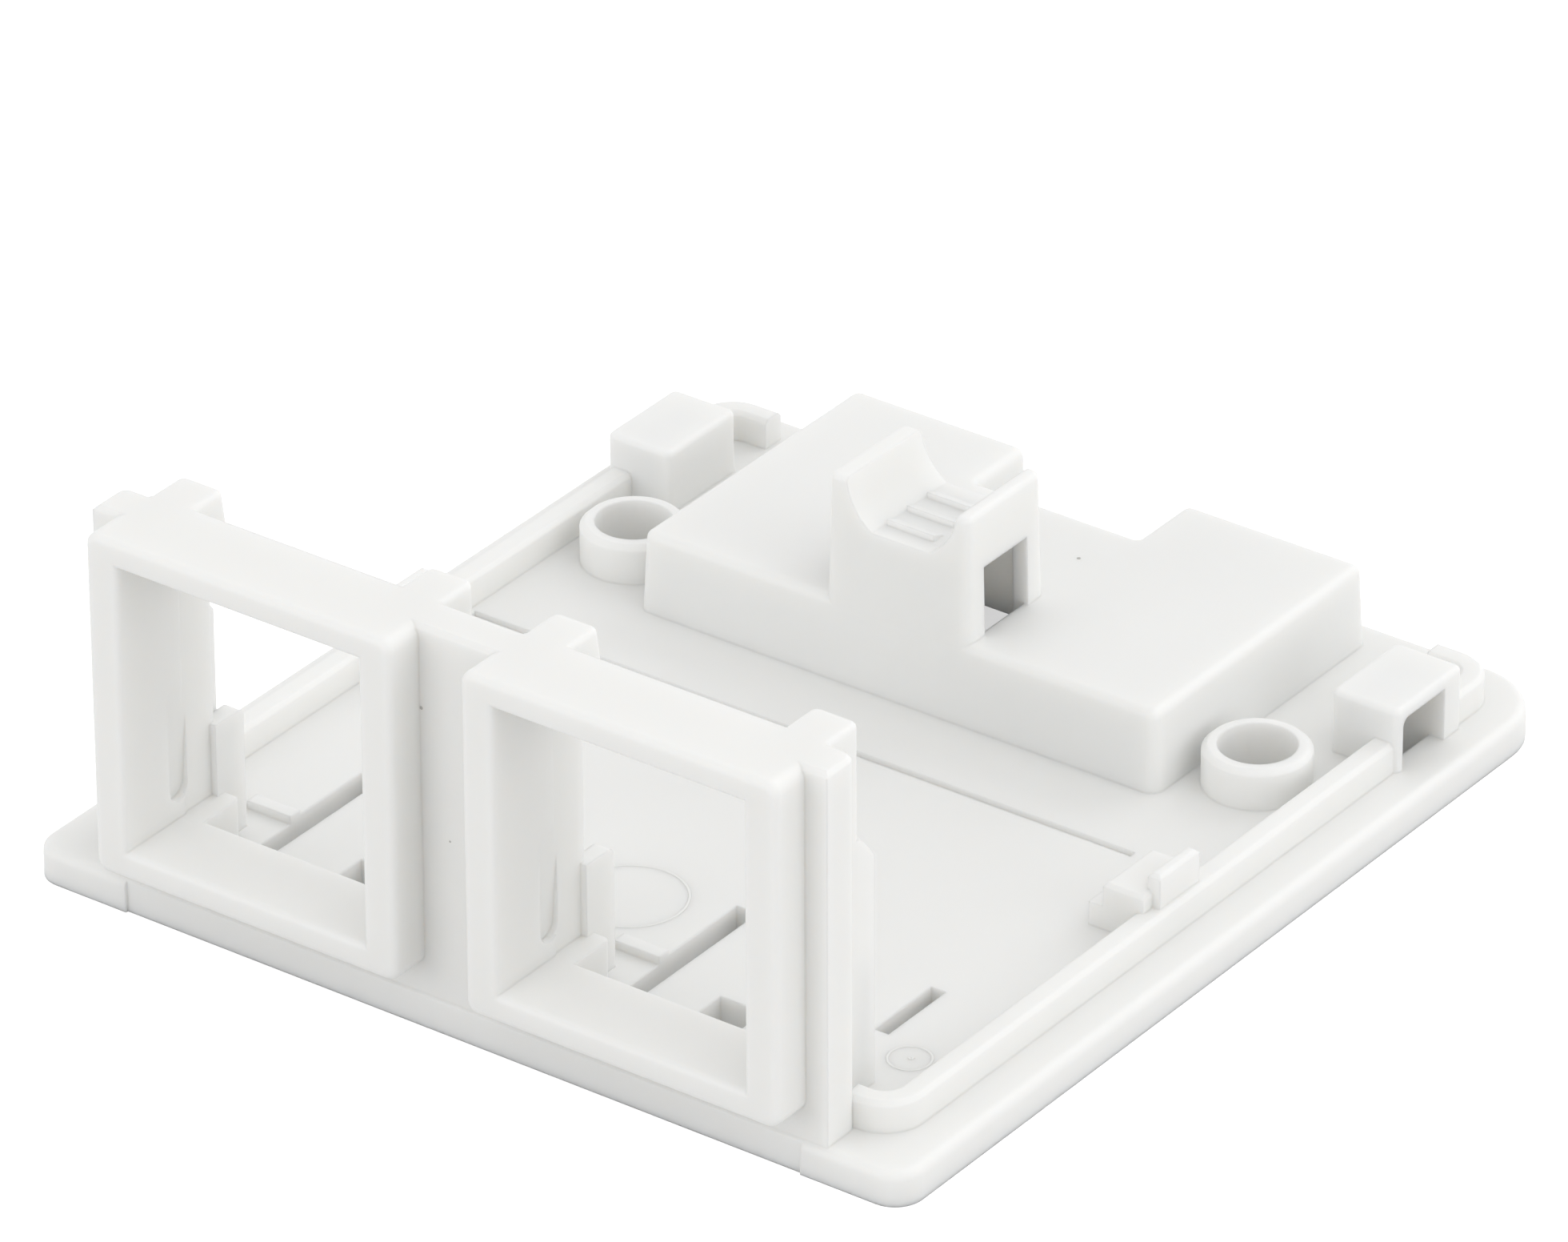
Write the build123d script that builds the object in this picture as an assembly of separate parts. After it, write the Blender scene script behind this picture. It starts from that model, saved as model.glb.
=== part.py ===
from build123d import *
from math import radians, tan
import os

# Base of a two-port surface mount box, one moulding, in millimetres.
# +Z up, +X to the right seen from the front, the ports look along -Y.
# The underside lies on Z = 0 and X = 0 is the middle of the width.
# Y is counted from the front face of the plate and shifted at the end,
# so that the origin ends up under the middle of the whole outline.

# Plate
plate_width = 53.4
plate_depth = 57.0
plate_thick = 1.9
front_corner_radius = 1.6
rear_corner_radius = 4.2
plate_edge_round = 0.5
insert_width = 41.3
insert_step = 0.15

# Rib that runs round the plate and seats the cover
ledge_width = 2.2
rear_ledge_width = 1.9
rib_thick = 1.37
rib_height = 1.7
rib_corner_radius = 2.3
rib_setback = 2.5
rib_rear_return = 3.75
rib_edge_bevel = 0.25

# Frames that stand out round the ports
port_pitch = 22.9
frame_width = 18.7
frame_bottom = 3.45
wall_top = 22.56
frame_reach = 2.0
frame_corner_radius = 0.7
frame_edge_round = 0.4
opening_width = 14.8
opening_height = 16.06
opening_bottom = 5.0
opening_edge_round = 0.3

# Wall that carries the frames
wall_front = 0.3
wall_rear = 2.75
wall_end_margin = 1.3
wall_corner_radius = 0.7
wall_edge_bevel = 0.25
sill_edge_round = 0.25

# Cheek and lug behind each side of a port
cheek_rear = 5.25
cheek_gap = 0.13
cheek_inset = 0.35
lug_reach = 2.62
lug_height = 2.8
lug_lean = 0.4
lug_corner_radius = 0.45
lug_edge_round = 0.3

# Guide, sill step and buttress behind each cheek
guide_gap = 7.18
guide_thick = 0.95
guide_rear = 7.2
guide_top = 9.05
guide_round = 0.45
sill_step_width = 1.2
sill_step_rear = 5.5
sill_step_round = 0.3
buttress_thick = 0.75
buttress_rear = 6.4
buttress_shoulder = 14.7
buttress_top = 16.1

# Scooped relief in the side walls of each port
relief_width = 1.5
relief_depth = 0.45
relief_middle = 2.3
relief_bottom = 6.0
relief_top = 12.5

# Slots, catch hole and lowered strip in the floor behind each port
long_slot_right = 4.8
long_slot_width = 1.3
long_slot_start = 3.2
long_slot_end = 15.7
short_slot_left = 6.12
short_slot_width = 0.88
short_slot_start = 10.3
short_slot_end = 15.1
catch_width = 2.62
catch_offset = 0.39
catch_end = 8.4
pad_outer = 8.85
pad_end = 9.3
pad_depth = 0.25
lip_width = 0.8
lip_height = 0.2

# Shallow groove across the floor
groove_position = 31.1
groove_width = 0.45
groove_depth = 0.3
groove_left = 22.8
groove_right = 18.4

# Screw bosses
boss_spacing = 38.9
boss_position = 40.5
boss_diameter = 5.66
boss_height = 2.25
boss_edge_bevel = 0.3
screw_hole = 4.1

# Raised box in the middle with two wings, measured at its top edge
draft = 3.0
box_width = 31.8
box_front = 36.6
box_rear = 55.2
box_top = 6.5
box_wall = 0.85
box_roof = 1.4
box_corner_radius = 0.5
box_edge_round = 0.5
notch_width = 10.1
notch_front = 50.75

# Tower with a cable saddle, measured at its top edge
tower_draft = 1.5
tower_width = 8.6
tower_depth = 6.4
tower_top = 13.6
tower_wall = 0.85
tower_corner_radius = 0.45
tower_edge_round = 0.3
saddle_offset = 0.18
saddle_radius = 3.4
saddle_rise = 0.3
saddle_depth = 2.6
saddle_web = 0.6
tie_window_front = 38.05
tie_window_length = 3.75
tie_core_width = 8.45
grip_count = 3
grip_first = 1.05
grip_pitch = 1.73
grip_height = 0.35
grip_length = 2.9

# Cover latch blocks at the rear corners
latch_width = 4.05
latch_overhang = 0.22
latch_front = 45.2
latch_rear = 51.1
latch_top = 5.5
latch_wall = 0.9
latch_corner_radius = 0.4
latch_edge_round = 0.3
latch_window_front = 45.7
latch_window_rear = 49.45
latch_window_top = 4.85
latch_window_round = 0.5

# Stepped posts half way along the sides
post_front = 24.4
post_rear = 28.6
post_step_start = 20.4
post_step_width = 0.85
post_step_top = 3.2
post_block_width = 2.1
post_block_top = 4.55
post_crest_front = 25.2
post_crest_width = 0.75
post_crest_top = 5.45
post_edge_bevel = 0.2

# How far raised pieces reach into what carries them
root = 0.3

half_width = plate_width / 2
floor = plate_thick
foot = floor - root
rib_out = half_width - ledge_width
rib_rear = plate_depth - rear_ledge_width
rib_top = floor + rib_height
frame_half = frame_width / 2
opening_half = opening_width / 2
opening_top = opening_bottom + opening_height
wall_half = port_pitch / 2 + frame_half + wall_end_margin
tower_front = box_front + (tower_top - box_top) * tan(radians(tower_draft))
saddle_floor = tower_top - saddle_depth


def between(x0, x1, y0, y1):
    """Rectangle with these four sides."""
    return Pos((x0 + x1) / 2, (y0 + y1) / 2) * Rectangle(abs(x1 - x0), abs(y1 - y0))


def outline(*points):
    """Filled outline through the points."""
    return make_face(Polyline(*points, close=True))


def raised(plan, bottom, top, taper=0):
    """Plan carried up from one height to another, narrowing by the taper angle."""
    return extrude(Pos(0, 0, bottom) * plan, top - bottom, taper=taper)


def across(side_view, x0, x1):
    """Side view, drawn in Y and Z, carried across from x0 to x1."""
    return extrude(Plane.YZ.offset(x0) * side_view, x1 - x0)


def along(front_view, y0, y1):
    """Front view, drawn in X and Z, carried back from y0 to y1."""
    return extrude(Plane.XZ.offset(-y0) * front_view, y0 - y1)


def both(shape):
    """The shape and its mirror image across X = 0."""
    return shape + mirror(shape, about=Plane.YZ)


def drafted(plan, bottom, top, angle):
    """Plan measured at the top, with moulding draft down to the bottom."""
    spread = (top - bottom) * tan(radians(angle))
    return raised(offset(plan, spread, kind=Kind.INTERSECTION), bottom, top, taper=angle)


def plate():
    """Plate with small front corners, larger rear corners and a soft upper edge."""
    plan = between(-half_width, half_width, 0, plate_depth)
    plan = fillet(plan.vertices().group_by(Axis.Y)[0], front_corner_radius)
    plan = fillet(plan.vertices().group_by(Axis.Y)[-1], rear_corner_radius)
    slab = raised(plan, 0, plate_thick)
    slab = fillet(slab.edges().group_by(Axis.Z)[-1], plate_edge_round)
    insert = between(-insert_width / 2, insert_width / 2, -insert_step, insert_step)
    return slab - raised(insert, -root, plate_thick + root)


def cover_rib():
    """Rib round the plate, open in front along the wall and open behind."""
    plan = between(-rib_out, rib_out, rib_setback, rib_rear)
    plan = fillet(plan.vertices(), rib_corner_radius)
    ring = raised(plan - offset(plan, -rib_thick), foot, rib_top)
    ring = chamfer(ring.edges().group_by(Axis.Z)[-1], rib_edge_bevel)
    front_half = wall_half - 2 * root
    rear_half = rib_out - rib_rear_return
    front_gap = between(-front_half, front_half, 0, rib_setback + 2 * rib_corner_radius)
    rear_gap = between(-rear_half, rear_half, rib_rear - 2 * rib_corner_radius, plate_depth)
    return ring - raised(front_gap + rear_gap, 0, 2 * rib_top)


def cross_wall():
    """Wall across the plate that ties the two port frames together."""
    wall = raised(between(-wall_half, wall_half, wall_front, wall_rear), foot, wall_top)
    wall = fillet(wall.edges().filter_by(Axis.Z).group_by(Axis.Y)[-1], wall_corner_radius)
    return chamfer(wall.edges().group_by(Axis.Z)[-1], wall_edge_bevel)


def port_frame():
    """Rounded frame that stands out of the wall round one port."""
    plan = Pos(0, (frame_bottom + wall_top) / 2) * RectangleRounded(
        frame_width, wall_top - frame_bottom, frame_corner_radius
    )
    block = along(plan, -frame_reach, wall_rear)
    return fillet(block.edges().group_by(Axis.Y)[0], frame_edge_round)


def port_opening():
    """Space of the opening through the frame and the wall."""
    plan = between(-opening_half, opening_half, opening_bottom, opening_top)
    return along(plan, -frame_reach - root, wall_rear)


def port_side():
    """Right-hand cheek of a port with its lug, guide and sill step."""
    cheek_in = opening_half + cheek_gap
    cheek_out = frame_half - cheek_inset
    lug_in = cheek_out - lug_reach
    lug_bottom = wall_top - lug_height
    hook = outline(
        (cheek_in, foot),
        (cheek_in, lug_bottom),
        (lug_in - lug_lean, lug_bottom),
        (lug_in, wall_top),
        (cheek_out, wall_top),
        (cheek_out, foot),
    )
    cheek = along(hook, wall_rear / 2, cheek_rear)
    uprights = cheek.edges().group_by(Axis.Y)[-1].sort_by(Axis.X)
    cheek = fillet([uprights[0], uprights[-1]], lug_corner_radius)
    cheek = fillet(cheek.edges().group_by(Axis.Z)[-1], lug_edge_round)

    guide_side = between(cheek_rear - root, guide_rear, foot, guide_top)
    guide_side = fillet(guide_side.vertices().group_by(Axis.Y)[-1].sort_by(Axis.X)[-1], guide_round)
    guide = across(guide_side, guide_gap, guide_gap + guide_thick)

    step_in = opening_half - sill_step_width
    step = raised(between(step_in, cheek_in + root, wall_rear - root, sill_step_rear), foot, opening_bottom)
    step = fillet(step.edges().filter_by(Axis.Z).group_by(Axis.Y)[-1].sort_by(Axis.X)[0], sill_step_round)
    return cheek + guide + step


def buttress():
    """Sloped rib that props the outer cheek of the right-hand port."""
    cheek_out = frame_half - cheek_inset
    profile = outline(
        (cheek_rear - 2 * root, foot),
        (buttress_rear, foot),
        (buttress_rear, buttress_shoulder),
        (cheek_rear, buttress_top),
        (cheek_rear - 2 * root, buttress_top),
    )
    return across(profile, cheek_out - buttress_thick, cheek_out)


def relief():
    """Scoop in a port's right side wall, deepest at its rounded lower end."""
    middle = (relief_bottom + relief_top) / 2
    face = Pos(relief_middle, middle) * SlotOverall(relief_top - relief_bottom, relief_width, rotation=90)
    depth = outline(
        (opening_half - root, relief_bottom),
        (opening_half + relief_depth, relief_bottom),
        (opening_half, relief_top),
        (opening_half - root, relief_top),
    )
    return across(face, opening_half - root, opening_half + relief_depth) & along(
        depth, relief_middle - relief_width, relief_middle + relief_width
    )


def port_wall():
    """Wall with both frames, cheeks and openings."""
    wall = cross_wall()
    for side in (-1, 1):
        place = Pos(side * port_pitch / 2, 0, 0)
        wall += place * (port_frame() + both(port_side()))
    wall += both(Pos(port_pitch / 2, 0, 0) * buttress())
    for side in (-1, 1):
        place = Pos(side * port_pitch / 2, 0, 0)
        wall -= place * port_opening()
        wall -= place * both(relief())
    rims = [
        edge
        for edge in wall.edges().group_by(Axis.Y)[0]
        if abs(abs(edge.center().X) - port_pitch / 2) < opening_half + root
        and opening_bottom - root < edge.center().Z < opening_top + root
    ]
    wall = fillet(rims, opening_edge_round)
    sills = [
        edge
        for edge in wall.edges().filter_by(Axis.X)
        if abs(edge.center().Y - wall_rear) < root
        and abs(edge.center().Z - opening_bottom) < root
        and abs(abs(edge.center().X) - port_pitch / 2) < root
    ]
    return fillet(sills, sill_edge_round)


def floor_slots():
    """Long slot to the left and short slot to the right, through the floor behind a port."""
    long_slot = between(-long_slot_right - long_slot_width, -long_slot_right, long_slot_start, long_slot_end)
    short_slot = between(
        short_slot_left, short_slot_left + short_slot_width, short_slot_start, short_slot_end
    )
    return raised(long_slot + short_slot, -root, floor + root)


def catch_hole():
    """Hole for the jack's catch behind the right-hand port, a little towards the middle."""
    left = -catch_offset - catch_width / 2
    return raised(between(left, left + catch_width, long_slot_start, catch_end), -root, floor + root)


def floor_pad():
    """Lowered strip of floor left of the long slot, under the lug."""
    return raised(between(-pad_outer, -long_slot_right, wall_rear, pad_end), floor - pad_depth, floor + root)


def floor_lip():
    """Low lip that closes the lowered strip towards the rear."""
    right = -long_slot_right - long_slot_width
    return raised(between(-pad_outer, right, pad_end, pad_end + lip_width), foot, floor + lip_height)


def screw_boss():
    """Round boss under one wall screw."""
    boss = raised(Circle(boss_diameter / 2), foot, floor + boss_height)
    return chamfer(boss.edges().group_by(Axis.Z)[-1], boss_edge_bevel)


def middle_plan(inset):
    """Plan of the raised box at its top, with the cable notch between its wings."""
    plan = between(-box_width / 2 + inset, box_width / 2 - inset, box_front + inset, box_rear - inset)
    notch_half = notch_width / 2 + inset
    return plan - between(-notch_half, notch_half, notch_front - inset, box_rear + root)


def tower_plan(inset):
    """Plan of the tower at its top, its front in line with the box."""
    plan = Rectangle(tower_width - 2 * inset, tower_depth - 2 * inset)
    return Pos(0, tower_front + tower_depth / 2) * plan


def middle_box():
    """Drafted box with its tower, before it is hollowed."""
    plan = middle_plan(0)
    corners = plan.vertices().filter_by(lambda corner: abs(corner.Y - notch_front) > root)
    box = drafted(fillet(corners, box_corner_radius), foot, box_top, draft)
    box = fillet(box.edges().group_by(Axis.Z)[-1], box_edge_round)
    plan = tower_plan(0)
    tower = drafted(fillet(plan.vertices(), tower_corner_radius), foot, tower_top, tower_draft)
    return box + fillet(tower.edges().group_by(Axis.Z)[-1], tower_edge_round)


def middle_hollow():
    """Space under the box and up inside the tower."""
    under_box = drafted(middle_plan(box_wall), -root, box_top - box_roof, draft)
    under_tower = drafted(tower_plan(tower_wall), -root, saddle_floor - saddle_web, tower_draft)
    return under_box + under_tower


def saddle():
    """Round channel for the cable with a flat floor."""
    channel = Pos(saddle_offset, tower_top + saddle_rise) * Circle(saddle_radius)
    channel -= between(-box_width, box_width, saddle_floor - saddle_radius, saddle_floor)
    return along(channel, box_front - tower_depth, box_front + 2 * tower_depth)


def grip_teeth():
    """Low teeth across the saddle floor, steep towards the front."""
    tooth_rows = []
    for number in range(grip_count):
        front = tower_front + grip_first + number * grip_pitch
        profile = outline(
            (front, saddle_floor - root),
            (front, saddle_floor + grip_height),
            (front + grip_pitch / 2, saddle_floor),
            (front + grip_pitch / 2, saddle_floor - root),
        )
        tooth_rows.append(across(profile, -grip_length / 2, grip_length / 2))
    return tooth_rows


def tie_window():
    """Window for the cable tie right through the tower, cored from below through the box's roof."""
    rear = tie_window_front + tie_window_length
    view = between(tie_window_front, rear, box_top, saddle_floor - saddle_web)
    core = between(-tie_core_width / 2, tie_core_width / 2, tie_window_front, rear)
    return across(view, -tower_width, tower_width) + raised(core, -root, box_top + root)


def latch_block():
    """Right-hand block for the cover's latch, standing a little proud of the rib."""
    outer = rib_out + latch_overhang
    block = raised(between(outer - latch_width, outer, latch_front, latch_rear), foot, latch_top)
    block = fillet(block.edges().filter_by(Axis.Z), latch_corner_radius)
    return fillet(block.edges().group_by(Axis.Z)[-1], latch_edge_round)


def latch_window():
    """Window in the outer face of the latch block and the hollow behind it."""
    outer = rib_out + latch_overhang
    view = between(latch_window_front, latch_window_rear, floor, latch_window_top)
    view = fillet(view.vertices().group_by(Axis.X)[0].sort_by(Axis.Y)[-1], latch_window_round)
    inside = outer - latch_width + latch_wall
    plan = between(inside, outer - latch_wall, latch_window_front, latch_window_rear)
    return across(view, inside, outer + root) + raised(plan, -root, latch_window_top)


def side_post():
    """Right-hand post: a low step, a block up to the rib and a crest on the rib."""
    block_start = post_step_start + post_step_width
    crest_start = block_start + post_block_width
    crest_end = crest_start + post_crest_width
    stair = outline(
        (post_step_start, foot),
        (post_step_start, post_step_top),
        (block_start, post_step_top),
        (block_start, post_block_top),
        (crest_start + root, post_block_top),
        (crest_start + root, foot),
    )
    stairs = along(stair, post_front, post_rear)
    stairs = chamfer(stairs.edges().group_by(Axis.Z)[-1], post_edge_bevel)
    crest = raised(between(crest_start, crest_end, post_crest_front, post_rear), foot, post_crest_top)
    crest = chamfer(crest.edges().group_by(Axis.Z)[-1], post_edge_bevel)
    return stairs + crest


base = plate() + cover_rib() + port_wall()
base -= both(Pos(port_pitch / 2, 0, 0) * catch_hole())
for side in (-1, 1):
    place = Pos(side * port_pitch / 2, 0, 0)
    base -= place * (floor_slots() + floor_pad())
    base += place * floor_lip()

groove = between(
    -groove_left, groove_right, groove_position - groove_width / 2, groove_position + groove_width / 2
)
base -= raised(groove, floor - groove_depth, floor + root)

base += both(Pos(boss_spacing / 2, boss_position) * screw_boss())
base -= both(Pos(boss_spacing / 2, boss_position) * raised(Circle(screw_hole / 2), -root, box_top))

base += middle_box()
base -= middle_hollow()
base -= saddle()
for tooth in grip_teeth():
    base += tooth
base -= tie_window()

base += both(latch_block())
base -= both(latch_window())
base += both(side_post())

# Origin under the middle of the whole outline
base = Pos(0, (frame_reach - plate_depth) / 2, 0) * base
base = base.solids().sort_by(SortBy.VOLUME)[-1]
base.label = "base"

os.makedirs("parts", exist_ok=True)
export_step(base, "parts/base.step")
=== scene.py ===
"""Looks for the moulded base of a two-port surface mount box.

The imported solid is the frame. This file gives it its white moulded plastic,
adds the fine marks that the mould and its ejector pins leave on the floor,
and sets the stage and the camera. Lengths are metres in the frame's own axes.
"""

import math

import bpy
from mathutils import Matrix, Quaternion, Vector


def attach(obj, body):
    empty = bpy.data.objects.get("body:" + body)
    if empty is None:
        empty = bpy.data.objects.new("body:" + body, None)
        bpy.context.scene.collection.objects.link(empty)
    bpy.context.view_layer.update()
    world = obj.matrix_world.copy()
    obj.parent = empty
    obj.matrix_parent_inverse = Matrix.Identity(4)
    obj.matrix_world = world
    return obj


bl_info = {
    "name": "Surface Mount Box Base",
    "version": (1, 0, 0),
    "blender": (4, 5, 0),
    "location": "3D View > Sidebar > Box Base",
    "description": "Finishes, mould marks and stage for the base of a surface mount box",
    "category": "Object",
}

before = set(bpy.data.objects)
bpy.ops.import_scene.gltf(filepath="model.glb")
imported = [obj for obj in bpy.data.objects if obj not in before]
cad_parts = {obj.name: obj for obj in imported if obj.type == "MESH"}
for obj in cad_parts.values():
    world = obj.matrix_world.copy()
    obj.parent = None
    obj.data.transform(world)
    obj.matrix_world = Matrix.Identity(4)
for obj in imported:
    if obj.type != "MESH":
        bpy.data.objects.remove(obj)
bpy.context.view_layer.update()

MM = 0.001
BODY = "root"

# Detail of the two noises in the plastic, how far each colour of light spreads in it
# against the others, and the rays that round its edges
GRAIN_DETAIL = 2.0
WAVE_DETAIL = 1.0
LIGHT_SPREAD = (1.0, 0.93, 0.86)
EDGE_SAMPLES = 6

# Ejector marks on the floor: place in X and Y, and radius, in millimetres
FLOOR_TOP = 1.9
EJECTOR_MARKS = [(0.55, -14.15, 2.95), (20.55, -18.35, 1.1), (20.6, -18.3, 0.09)]

# Specks in the wall's front face and in the roof of the middle box: X, Y, Z and radius
# in millimetres, and how flat they are along each axis
WALL_SPECKS = [(-2.0, -27.2, 17.97, 0.1), (20.69, -27.2, 9.36, 0.1), (-0.41, -27.2, 11.04, 0.06)]
ROOF_SPECKS = [(3.82, 19.73, 6.5, 0.11)]
FLAT_IN_WALL = (1.0, 0.25, 1.0)
FLAT_IN_ROOF = (1.0, 1.0, 0.25)
SPECK_COLOURS = (0.5, 0.49, 0.47, 1.0), (0.42, 0.41, 0.39, 1.0)

# Steps round a ring and round the line that draws it
RING_STEPS = 96
LINE_STEPS = 8

# Point that the camera looks at, and the nearest and farthest that it sees, in metres
TARGET = Vector((-0.33, 0.0, 10.64)) * MM
NEAREST = 0.01
FARTHEST = 10.0
WHITE = (1.0, 1.0, 1.0, 1.0)
FLOOR_ROUGHNESS = 0.9

# Strength of the white room on the object, and each lamp's place, side and power
ROOM_LIGHT = 0.8
LAMPS = [
    ("High right", (0.45, 0.0, 0.7), 0.6, 0.6),
    ("Low right", (0.85, 0.0, 0.2), 0.6, 1.1),
    ("Front left", (-0.35, -0.78, 0.2), 0.6, 1.5),
    ("Rear", (0.2, 0.7, 0.5), 0.6, 1.4),
]


class PlasticSettings(bpy.types.PropertyGroup):
    """Colour and finish of the moulded plastic."""

    colour: bpy.props.FloatVectorProperty(
        name="Plastic colour",
        description="Base colour of the moulding",
        subtype="COLOR",
        size=4,
        min=0.0,
        max=1.0,
        default=(0.85, 0.85, 0.835, 1.0),
    )
    shade: bpy.props.FloatProperty(
        name="Shade",
        description="Share of the colour that is left where the plastic is darkest",
        min=0.0,
        max=1.0,
        default=0.985,
    )
    roughness: bpy.props.FloatProperty(
        name="Roughness",
        description="Roughness of the plain moulded faces",
        min=0.0,
        max=1.0,
        default=0.48,
    )
    grain: bpy.props.FloatProperty(
        name="Grain",
        description="Size of the fine spark-eroded grain",
        unit="LENGTH",
        default=0.00012,
    )
    grain_strength: bpy.props.FloatProperty(
        name="Grain strength",
        description="How strongly the grain turns the surface",
        min=0.0,
        max=1.0,
        default=0.12,
    )
    grain_depth: bpy.props.FloatProperty(
        name="Grain depth",
        description="Depth of the grain",
        unit="LENGTH",
        default=0.00005,
    )
    edge_softness: bpy.props.FloatProperty(
        name="Edge softness",
        description="Radius over which sharp edges look rounded",
        unit="LENGTH",
        default=0.00018,
    )
    ior: bpy.props.FloatProperty(
        name="Index of refraction",
        description="Index of refraction of the plastic",
        default=1.5,
    )
    translucency: bpy.props.FloatProperty(
        name="Translucency",
        description="Share of the light that spreads inside the plastic",
        min=0.0,
        max=1.0,
        default=0.7,
    )
    glow_depth: bpy.props.FloatProperty(
        name="Light depth",
        description="How far light spreads inside the plastic",
        unit="LENGTH",
        default=0.0013,
    )


class MarkSettings(bpy.types.PropertyGroup):
    """Line that an ejector pin leaves."""

    line_width: bpy.props.FloatProperty(
        name="Line width",
        description="Width of the raised line round an ejector pin",
        unit="LENGTH",
        default=0.00014,
    )
    line_height: bpy.props.FloatProperty(
        name="Line height",
        description="Height of the raised line above the floor",
        unit="LENGTH",
        default=0.000012,
    )


class StageSettings(bpy.types.PropertyGroup):
    """Camera and floor."""

    azimuth: bpy.props.FloatProperty(
        name="Camera azimuth",
        description="Angle of the camera to the right of the front",
        subtype="ANGLE",
        default=math.radians(36.3),
    )
    elevation: bpy.props.FloatProperty(
        name="Camera elevation",
        description="Angle of the camera above the horizon",
        subtype="ANGLE",
        default=math.radians(29.92),
    )
    roll: bpy.props.FloatProperty(
        name="Camera roll",
        description="Turn of the picture about the viewing line",
        subtype="ANGLE",
        default=math.radians(-0.285),
    )
    distance: bpy.props.FloatProperty(
        name="Camera distance",
        description="Distance from the camera to its target",
        unit="LENGTH",
        default=0.6162,
    )
    lens: bpy.props.FloatProperty(
        name="Lens",
        description="Focal length, in millimetres",
        default=284.07,
    )
    sensor: bpy.props.FloatProperty(
        name="Sensor",
        description="Width of the sensor, in millimetres",
        default=36.0,
    )
    floor_size: bpy.props.FloatProperty(
        name="Floor size",
        description="Side of the square floor",
        unit="LENGTH",
        default=1.6,
    )
    floor_tone: bpy.props.FloatProperty(
        name="Floor tone",
        description="How pale the floor is, in which the object's shadow lies",
        min=0.0,
        max=1.0,
        default=0.7,
    )
    floor_glow: bpy.props.FloatProperty(
        name="Floor glow",
        description="White that the camera sees on the floor over its own tone",
        min=0.0,
        max=1.0,
        default=0.6,
    )


def new_group(name, inputs, outputs):
    """Empty shader node group with the named sockets and its two end nodes."""
    tree = bpy.data.node_groups.new(name, "ShaderNodeTree")
    for label, kind, default in inputs:
        socket = tree.interface.new_socket(label, in_out="INPUT", socket_type=kind)
        if default is not None:
            socket.default_value = default
    for label, kind in outputs:
        tree.interface.new_socket(label, in_out="OUTPUT", socket_type=kind)
    return tree, tree.nodes.new("NodeGroupInput"), tree.nodes.new("NodeGroupOutput")


def noise_at_size(tree, vector, size, detail):
    """Noise whose features are about as large as the size socket says."""
    scale = tree.nodes.new("ShaderNodeMath")
    scale.operation = "DIVIDE"
    scale.inputs[0].default_value = 1.0
    tree.links.new(size, scale.inputs[1])
    noise = tree.nodes.new("ShaderNodeTexNoise")
    noise.inputs["Detail"].default_value = detail
    tree.links.new(vector, noise.inputs["Vector"])
    tree.links.new(scale.outputs[0], noise.inputs["Scale"])
    return noise.outputs["Fac"]


def grain_group():
    """Fine even grain of a moulded face, with the slow waviness of thick walls."""
    name = "Moulded grain"
    if name in bpy.data.node_groups:
        return bpy.data.node_groups[name]
    tree, start, end = new_group(
        name,
        [
            ("Vector", "NodeSocketVector", None),
            ("Grain size", "NodeSocketFloat", 0.00012),
            ("Waviness size", "NodeSocketFloat", 0.006),
            ("Grain share", "NodeSocketFloat", 0.12),
        ],
        [("Height", "NodeSocketFloat"), ("Tone", "NodeSocketFloat")],
    )
    vector = start.outputs["Vector"]
    fine = noise_at_size(tree, vector, start.outputs["Grain size"], GRAIN_DETAIL)
    wave = noise_at_size(tree, vector, start.outputs["Waviness size"], WAVE_DETAIL)
    height = tree.nodes.new("ShaderNodeMath")
    height.operation = "MULTIPLY_ADD"
    tree.links.new(fine, height.inputs[0])
    tree.links.new(start.outputs["Grain share"], height.inputs[1])
    tree.links.new(wave, height.inputs[2])
    tree.links.new(height.outputs[0], end.inputs["Height"])
    tree.links.new(wave, end.inputs["Tone"])
    return tree


def grained_material(name, settings, colours):
    """Moulded plastic: its grain moves both the surface and the tone between two colours."""
    material = bpy.data.materials.new(name)
    material.use_nodes = True
    nodes, links = material.node_tree.nodes, material.node_tree.links
    shader = nodes["Principled BSDF"]
    shader.inputs["Roughness"].default_value = settings.roughness
    shader.inputs["IOR"].default_value = settings.ior
    where = nodes.new("ShaderNodeTexCoord")
    grain = nodes.new("ShaderNodeGroup")
    grain.node_tree = grain_group()
    grain.inputs["Grain size"].default_value = settings.grain
    links.new(where.outputs["Object"], grain.inputs["Vector"])
    bump = nodes.new("ShaderNodeBump")
    bump.inputs["Strength"].default_value = settings.grain_strength
    bump.inputs["Distance"].default_value = settings.grain_depth
    links.new(grain.outputs["Height"], bump.inputs["Height"])
    links.new(bump.outputs["Normal"], shader.inputs["Normal"])
    tone = nodes.new("ShaderNodeMix")
    tone.data_type = "RGBA"
    tone.inputs["A"].default_value, tone.inputs["B"].default_value = colours
    links.new(grain.outputs["Tone"], tone.inputs["Factor"])
    links.new(tone.outputs["Result"], shader.inputs["Base Color"])
    return material


def plastic_colours(settings):
    """The plastic's colour, and the same a shade darker."""
    return settings.colour, [settings.shade * share for share in settings.colour[:3]] + [1.0]


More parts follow.
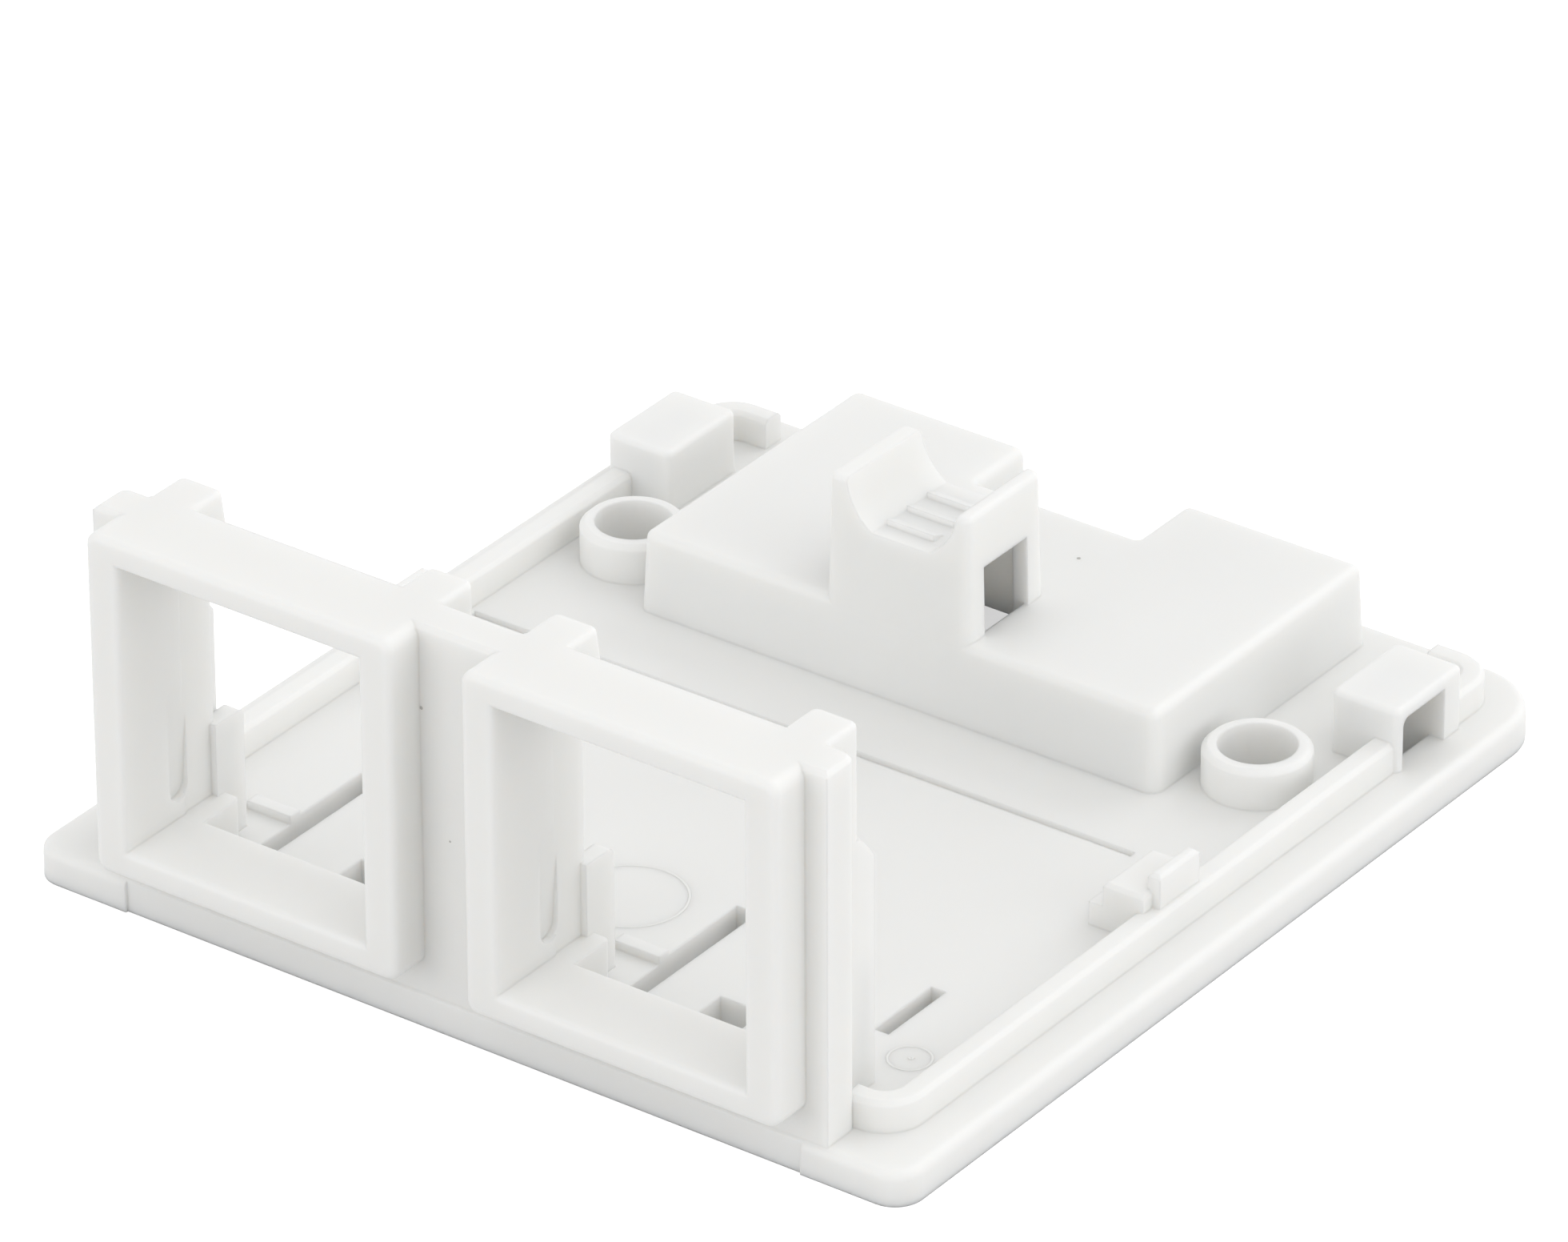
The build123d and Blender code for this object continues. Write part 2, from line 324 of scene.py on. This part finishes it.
def white_plastic(settings):
    """White moulded plastic with soft edges, which lets some light through its walls."""
    colours = plastic_colours(settings)
    material = grained_material("White moulded plastic", settings, colours)
    nodes, links = material.node_tree.nodes, material.node_tree.links
    shader = nodes["Principled BSDF"]
    shader.inputs["Subsurface Weight"].default_value = settings.translucency
    shader.inputs["Subsurface Radius"].default_value = LIGHT_SPREAD
    shader.inputs["Subsurface Scale"].default_value = settings.glow_depth
    edge = nodes.new("ShaderNodeBevel")
    edge.samples = EDGE_SAMPLES
    edge.inputs["Radius"].default_value = settings.edge_softness
    links.new(edge.outputs["Normal"], nodes["Bump"].inputs["Normal"])
    return material


def mark_plastic(settings):
    """The same plastic where an ejector pin has pressed a witness line."""
    colours = plastic_colours(settings)
    return grained_material("Ejector mark plastic", settings, colours)


def speck_plastic(settings):
    """Greyer speck of plastic that has been too hot in the mould."""
    return grained_material("Speck", settings, SPECK_COLOURS)


def point_cloud(name, marks):
    """Mesh of loose points, each with a radius, from X, Y, Z and radius in millimetres."""
    mesh = bpy.data.meshes.new(name)
    mesh.from_pydata([Vector(mark[:3]) * MM for mark in marks], [], [])
    radii = mesh.attributes.new("mark_radius", "FLOAT", "POINT")
    radii.data.foreach_set("value", [mark[3] * MM for mark in marks])
    points = bpy.data.objects.new(name, mesh)
    bpy.context.scene.collection.objects.link(points)
    return points


def new_geometry_tree(name, inputs):
    """Geometry node tree with a geometry in and out and the named inputs."""
    tree = bpy.data.node_groups.new(name, "GeometryNodeTree")
    tree.interface.new_socket("Geometry", in_out="INPUT", socket_type="NodeSocketGeometry")
    for label, kind in inputs:
        tree.interface.new_socket(label, in_out="INPUT", socket_type=kind)
    tree.interface.new_socket("Geometry", in_out="OUTPUT", socket_type="NodeSocketGeometry")
    return tree, tree.nodes.new("NodeGroupInput"), tree.nodes.new("NodeGroupOutput")


def chain(tree, *steps):
    """Link each node's first output to the next node's first input."""
    for source, target in zip(steps, steps[1:]):
        tree.links.new(source.outputs[0], target.inputs[0])


def named_radius(tree):
    """Node that reads the radius stored on each point."""
    radius = tree.nodes.new("GeometryNodeInputNamedAttribute")
    radius.data_type = "FLOAT"
    radius.inputs["Name"].default_value = "mark_radius"
    return radius.outputs["Attribute"]


def ejector_line_tree():
    """Rings of a low rounded line, one round each point.

    The line's section is a circle one across, stretched to the line's width and to
    twice its height, as its lower half lies under the floor.
    """
    tree, start, end = new_geometry_tree(
        "Ejector lines",
        [
            ("Line width", "NodeSocketFloat"),
            ("Line height", "NodeSocketFloat"),
            ("Material", "NodeSocketMaterial"),
        ],
    )
    nodes, links = tree.nodes, tree.links
    circle = nodes.new("GeometryNodeCurvePrimitiveCircle")
    circle.inputs["Resolution"].default_value = RING_STEPS
    circle.inputs["Radius"].default_value = 1.0
    copies = nodes.new("GeometryNodeInstanceOnPoints")
    links.new(circle.outputs["Curve"], copies.inputs["Instance"])
    links.new(named_radius(tree), copies.inputs["Scale"])
    real = nodes.new("GeometryNodeRealizeInstances")
    section = nodes.new("GeometryNodeCurvePrimitiveCircle")
    section.inputs["Resolution"].default_value = LINE_STEPS
    section.inputs["Radius"].default_value = 0.5
    flat = nodes.new("GeometryNodeTransform")
    size = nodes.new("ShaderNodeCombineXYZ")
    size.inputs["Z"].default_value = 1.0
    tall = nodes.new("ShaderNodeMath")
    tall.operation = "MULTIPLY"
    tall.inputs[1].default_value = 2.0
    links.new(start.outputs["Line height"], tall.inputs[0])
    links.new(start.outputs["Line width"], size.inputs["X"])
    links.new(tall.outputs[0], size.inputs["Y"])
    links.new(section.outputs["Curve"], flat.inputs["Geometry"])
    links.new(size.outputs[0], flat.inputs["Scale"])
    sweep = nodes.new("GeometryNodeCurveToMesh")
    links.new(flat.outputs["Geometry"], sweep.inputs["Profile Curve"])
    paint = nodes.new("GeometryNodeSetMaterial")
    links.new(start.outputs["Material"], paint.inputs["Material"])
    chain(tree, start, copies, real, sweep, paint, end)
    return tree


def speck_tree():
    """Low rounded specks, one on each point."""
    tree, start, end = new_geometry_tree(
        "Specks",
        [("Flatness", "NodeSocketVector"), ("Material", "NodeSocketMaterial")],
    )
    nodes, links = tree.nodes, tree.links
    grain = nodes.new("GeometryNodeMeshIcoSphere")
    grain.inputs["Radius"].default_value = 1.0
    grain.inputs["Subdivisions"].default_value = 2
    copies = nodes.new("GeometryNodeInstanceOnPoints")
    links.new(grain.outputs["Mesh"], copies.inputs["Instance"])
    scale = nodes.new("ShaderNodeVectorMath")
    scale.operation = "SCALE"
    links.new(start.outputs["Flatness"], scale.inputs[0])
    links.new(named_radius(tree), scale.inputs["Scale"])
    links.new(scale.outputs[0], copies.inputs["Scale"])
    real = nodes.new("GeometryNodeRealizeInstances")
    paint = nodes.new("GeometryNodeSetMaterial")
    links.new(start.outputs["Material"], paint.inputs["Material"])
    chain(tree, start, copies, real, paint, end)
    return tree


def made_real(points, tree, values):
    """Plain mesh piece that the tree makes from the points."""
    modifier = points.modifiers.new(tree.name, "NODES")
    modifier.node_group = tree
    for item in tree.interface.items_tree:
        if item.item_type == "SOCKET" and item.in_out == "INPUT" and item.name in values:
            modifier[item.identifier] = values[item.name]
    depsgraph = bpy.context.evaluated_depsgraph_get()
    mesh = bpy.data.meshes.new_from_object(points.evaluated_get(depsgraph))
    points.modifiers.remove(modifier)
    points.data = mesh
    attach(points, BODY)
    return points


def look_along(camera, settings):
    """Place a camera so that it looks at the target from the given angles."""
    azimuth, elevation = settings.azimuth, settings.elevation
    back = Vector(
        (
            math.sin(azimuth) * math.cos(elevation),
            -math.cos(azimuth) * math.cos(elevation),
            math.sin(elevation),
        )
    )
    camera.rotation_mode = "QUATERNION"
    camera.rotation_quaternion = (-back).to_track_quat("-Z", "Y") @ Quaternion((0, 0, 1), settings.roll)
    camera.location = TARGET + back * settings.distance


def make_camera(scene, settings):
    """Long lens at the viewing angle of the reference view."""
    data = bpy.data.cameras.new("Camera")
    data.sensor_width = settings.sensor
    data.lens = settings.lens
    data.clip_start = NEAREST
    data.clip_end = FARTHEST
    camera = bpy.data.objects.new("Camera", data)
    scene.collection.objects.link(camera)
    look_along(camera, settings)
    scene.camera = camera


def seen_share(tree):
    """1 for what the camera sees, also in a reflection or through something clear, else 0."""
    path = tree.nodes.new("ShaderNodeLightPath")
    share = path.outputs["Is Camera Ray"]
    for kind in ("Is Glossy Ray", "Is Transmission Ray"):
        either = tree.nodes.new("ShaderNodeMath")
        either.operation = "MAXIMUM"
        tree.links.new(share, either.inputs[0])
        tree.links.new(path.outputs[kind], either.inputs[1])
        share = either.outputs[0]
    return share


def make_world(scene):
    """Even white surroundings: plain light on the object, white to the camera."""
    world = bpy.data.worlds.new("White room")
    scene.world = world
    world.use_nodes = True
    nodes, links = world.node_tree.nodes, world.node_tree.links
    background = nodes["Background"]
    background.inputs["Color"].default_value = WHITE
    strength = nodes.new("ShaderNodeMix")
    strength.data_type = "FLOAT"
    strength.inputs["A"].default_value = ROOM_LIGHT
    strength.inputs["B"].default_value = 1.0
    links.new(seen_share(world.node_tree), strength.inputs["Factor"])
    links.new(strength.outputs["Result"], background.inputs["Strength"])


def make_floor(settings):
    """Large pale floor that keeps the object's soft shadow."""
    half = settings.floor_size / 2
    mesh = bpy.data.meshes.new("Floor")
    corners = [(-half, -half, 0.0), (half, -half, 0.0), (half, half, 0.0), (-half, half, 0.0)]
    mesh.from_pydata(corners, [], [(0, 1, 2, 3)])
    floor = bpy.data.objects.new("Floor", mesh)
    bpy.context.scene.collection.objects.link(floor)
    material = bpy.data.materials.new("Pale floor")
    material.use_nodes = True
    nodes, links = material.node_tree.nodes, material.node_tree.links
    shader = nodes["Principled BSDF"]
    shader.inputs["Base Color"].default_value = [settings.floor_tone] * 3 + [1.0]
    shader.inputs["Roughness"].default_value = FLOOR_ROUGHNESS
    shader.inputs["Specular IOR Level"].default_value = 0.0
    shader.inputs["Emission Color"].default_value = WHITE
    glow = nodes.new("ShaderNodeMath")
    glow.operation = "MULTIPLY"
    glow.inputs[1].default_value = settings.floor_glow
    links.new(seen_share(material.node_tree), glow.inputs[0])
    links.new(glow.outputs[0], shader.inputs["Emission Strength"])
    mesh.materials.append(material)


def make_lamps(scene):
    """Large soft lamps round the object."""
    for name, place, size, power in LAMPS:
        data = bpy.data.lights.new(name, "AREA")
        data.size = size
        data.energy = power
        lamp = bpy.data.objects.new(name, data)
        lamp.location = place
        lamp.rotation_mode = "QUATERNION"
        lamp.rotation_quaternion = (-Vector(place)).to_track_quat("-Z", "Y")
        scene.collection.objects.link(lamp)


class BOXBASE_OT_moulding(bpy.types.Operator):
    """Give the moulded base its white plastic"""

    bl_idname = "box_base.moulding"
    bl_label = "Finish the moulding"

    def execute(self, context):
        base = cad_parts["base"]
        base.data.materials.clear()
        base.data.materials.append(white_plastic(context.scene.box_base_plastic))
        return {"FINISHED"}


class BOXBASE_OT_ejector_marks(bpy.types.Operator):
    """Add the witness lines of the ejector pins on the floor"""

    bl_idname = "box_base.ejector_marks"
    bl_label = "Add the ejector marks"

    def execute(self, context):
        sizes = context.scene.box_base_marks
        rings = [(x, y, FLOOR_TOP, radius) for x, y, radius in EJECTOR_MARKS]
        points = point_cloud("ejector_marks", rings)
        values = {
            "Line width": sizes.line_width,
            "Line height": sizes.line_height,
            "Material": mark_plastic(context.scene.box_base_plastic),
        }
        made_real(points, ejector_line_tree(), values)
        return {"FINISHED"}


class BOXBASE_OT_specks(bpy.types.Operator):
    """Add the few dark specks in the plastic"""

    bl_idname = "box_base.specks"
    bl_label = "Add the specks"

    def execute(self, context):
        grey = speck_plastic(context.scene.box_base_plastic)
        tree = speck_tree()
        for name, specks, flatness in (
            ("wall_specks", WALL_SPECKS, FLAT_IN_WALL),
            ("roof_specks", ROOF_SPECKS, FLAT_IN_ROOF),
        ):
            points = point_cloud(name, specks)
            made_real(points, tree, {"Flatness": flatness, "Material": grey})
        return {"FINISHED"}


class BOXBASE_OT_stage(bpy.types.Operator):
    """Set the pale floor, the soft light and the camera"""

    bl_idname = "box_base.stage"
    bl_label = "Set the stage"

    def execute(self, context):
        scene = context.scene
        scene.view_settings.view_transform = "Standard"
        make_world(scene)
        make_floor(scene.box_base_stage)
        make_lamps(scene)
        make_camera(scene, scene.box_base_stage)
        return {"FINISHED"}


OPERATORS = (
    BOXBASE_OT_moulding,
    BOXBASE_OT_ejector_marks,
    BOXBASE_OT_specks,
    BOXBASE_OT_stage,
)


class BOXBASE_PT_panel(bpy.types.Panel):
    """Lists the steps that dress the base"""

    bl_idname = "BOXBASE_PT_panel"
    bl_label = "Box base"
    bl_space_type = "VIEW_3D"
    bl_region_type = "UI"
    bl_category = "Box Base"

    def draw(self, context):
        layout = self.layout
        scene = context.scene
        for settings in (scene.box_base_plastic, scene.box_base_marks, scene.box_base_stage):
            for key in settings.__annotations__:
                layout.prop(settings, key)
        for operator in OPERATORS:
            layout.operator(operator.bl_idname)


CLASSES = (PlasticSettings, MarkSettings, StageSettings, *OPERATORS, BOXBASE_PT_panel)


def register():
    for kind in CLASSES:
        bpy.utils.register_class(kind)
    bpy.types.Scene.box_base_plastic = bpy.props.PointerProperty(type=PlasticSettings)
    bpy.types.Scene.box_base_marks = bpy.props.PointerProperty(type=MarkSettings)
    bpy.types.Scene.box_base_stage = bpy.props.PointerProperty(type=StageSettings)


def unregister():
    del bpy.types.Scene.box_base_stage
    del bpy.types.Scene.box_base_marks
    del bpy.types.Scene.box_base_plastic
    for kind in reversed(CLASSES):
        bpy.utils.unregister_class(kind)


def main():
    register()
    bpy.ops.box_base.moulding()
    bpy.ops.box_base.ejector_marks()
    bpy.ops.box_base.specks()
    bpy.ops.box_base.stage()


if __name__ == "__main__":
    main()
